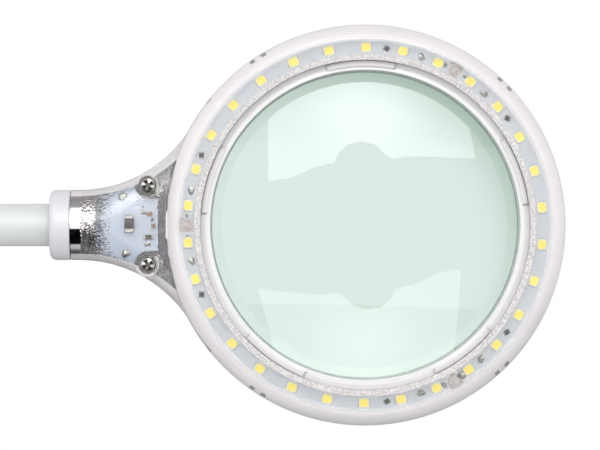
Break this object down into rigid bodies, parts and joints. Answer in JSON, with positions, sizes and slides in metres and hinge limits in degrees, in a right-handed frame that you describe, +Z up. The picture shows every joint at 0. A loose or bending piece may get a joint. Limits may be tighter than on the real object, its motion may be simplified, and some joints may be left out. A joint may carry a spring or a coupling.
{
  "type": "magnifying lamp",
  "caption": "Desk magnifying lamp: round glass lens in a ring of white LEDs under clear covers, on a bendable arm that rises from a round weighted base with a push button.",
  "frame": {"origin": "centre of the base's underside, on the surface it stands on", "axes": "+Z up, +X from the base towards the head along the arm, -Y the way the lit side of the lens faces"},
  "size_m": [0.2874, 0.1506, 0.315],
  "materials": {
    "clear_plastic": "gloss",
    "lens_glass": "polished",
    "ring_plastic": "gloss",
    "board": "satin",
    "led": "satin",
    "component": "satin",
    "screw_steel": "satin",
    "chrome": "polished",
    "white_plastic": "satin",
    "arm_sleeve": "satin",
    "weight_iron": "matte",
    "plate_steel": "satin",
    "foot_rubber": "matte",
    "button_plastic": "satin",
    "socket_plastic": "matte"
  },
  "bodies": {
    "base": {"foot_pad": "foot_rubber", "base_plate": "plate_steel", "base_weight": "weight_iron", "base_cover": "white_plastic", "power_socket": "socket_plastic", "switch_body": "socket_plastic", "arm_stem": "screw_steel", "arm_lock_nut": "screw_steel", "arm_base_collar": "white_plastic", "base_screw_left": "screw_steel", "base_screw_right": "screw_steel", "arm_segment_1": "arm_sleeve"},
    "button": {"power_button": "button_plastic"},
    "arm_lower": {"arm_segment_2": "arm_sleeve"},
    "arm_middle": {"arm_segment_3": "arm_sleeve"},
    "arm_upper": {"arm_segment_4": "arm_sleeve"},
    "arm_tip": {"arm_segment_5": "arm_sleeve", "neck_collar": "white_plastic", "swivel_ferrule": "chrome"},
    "head": {"front_cover": "clear_plastic", "rear_housing": "clear_plastic", "lens": "lens_glass", "lens_ring": "ring_plastic", "driver_board": "board", "driver_diode": "component", "cover_screw_upper": "screw_steel", "cover_screw_lower": "screw_steel", "led_board_1": "board", "led_board_2": "board", "led_board_3": "board", "led_01": "led", "led_02": "led", "led_03": "led", "led_04": "led", "led_05": "led", "led_06": "led", "led_07": "led", "led_08": "led", "led_09": "led", "led_10": "led", "led_11": "led", "led_12": "led", "led_13": "led", "led_14": "led", "led_15": "led", "led_16": "led", "led_17": "led", "led_18": "led", "led_19": "led", "led_20": "led", "led_21": "led", "led_22": "led", "led_23": "led", "led_24": "led", "led_25": "led", "led_26": "led", "led_27": "led", "led_28": "led", "led_29": "led", "led_30": "led"}
  },
  "joints": [
    {"name": "arm_bend_1", "type": "hinge", "parent": "base", "child": "arm_lower", "pos_m": [-0.045, 0, 0.07], "axis": [0, 1, 0], "range_deg": [-30, 10]},
    {"name": "arm_bend_2", "type": "hinge", "parent": "arm_lower", "child": "arm_middle", "pos_m": [-0.045, 0, 0.115], "axis": [1, 0, 0], "range_deg": [-30, 30]},
    {"name": "arm_bend_3", "type": "hinge", "parent": "arm_middle", "child": "arm_upper", "pos_m": [-0.045, 0, 0.16], "axis": [0, 1, 0], "range_deg": [-30, 15]},
    {"name": "arm_bend_4", "type": "hinge", "parent": "arm_upper", "child": "arm_tip", "pos_m": [-0.02743, 0, 0.23243], "axis": [0, 1, 0], "range_deg": [-45, 20]},
    {"name": "head_swivel", "type": "hinge", "parent": "arm_tip", "child": "head", "pos_m": [0.056, 0, 0.25], "axis": [1, 0, 0], "range_deg": [-90, 90]},
    {"name": "button_press", "type": "slide", "parent": "base", "child": "button", "axis": [0, 0, -1], "range_m": [0, 0.0015], "stiffness_N_per_m": 800}
  ]
}
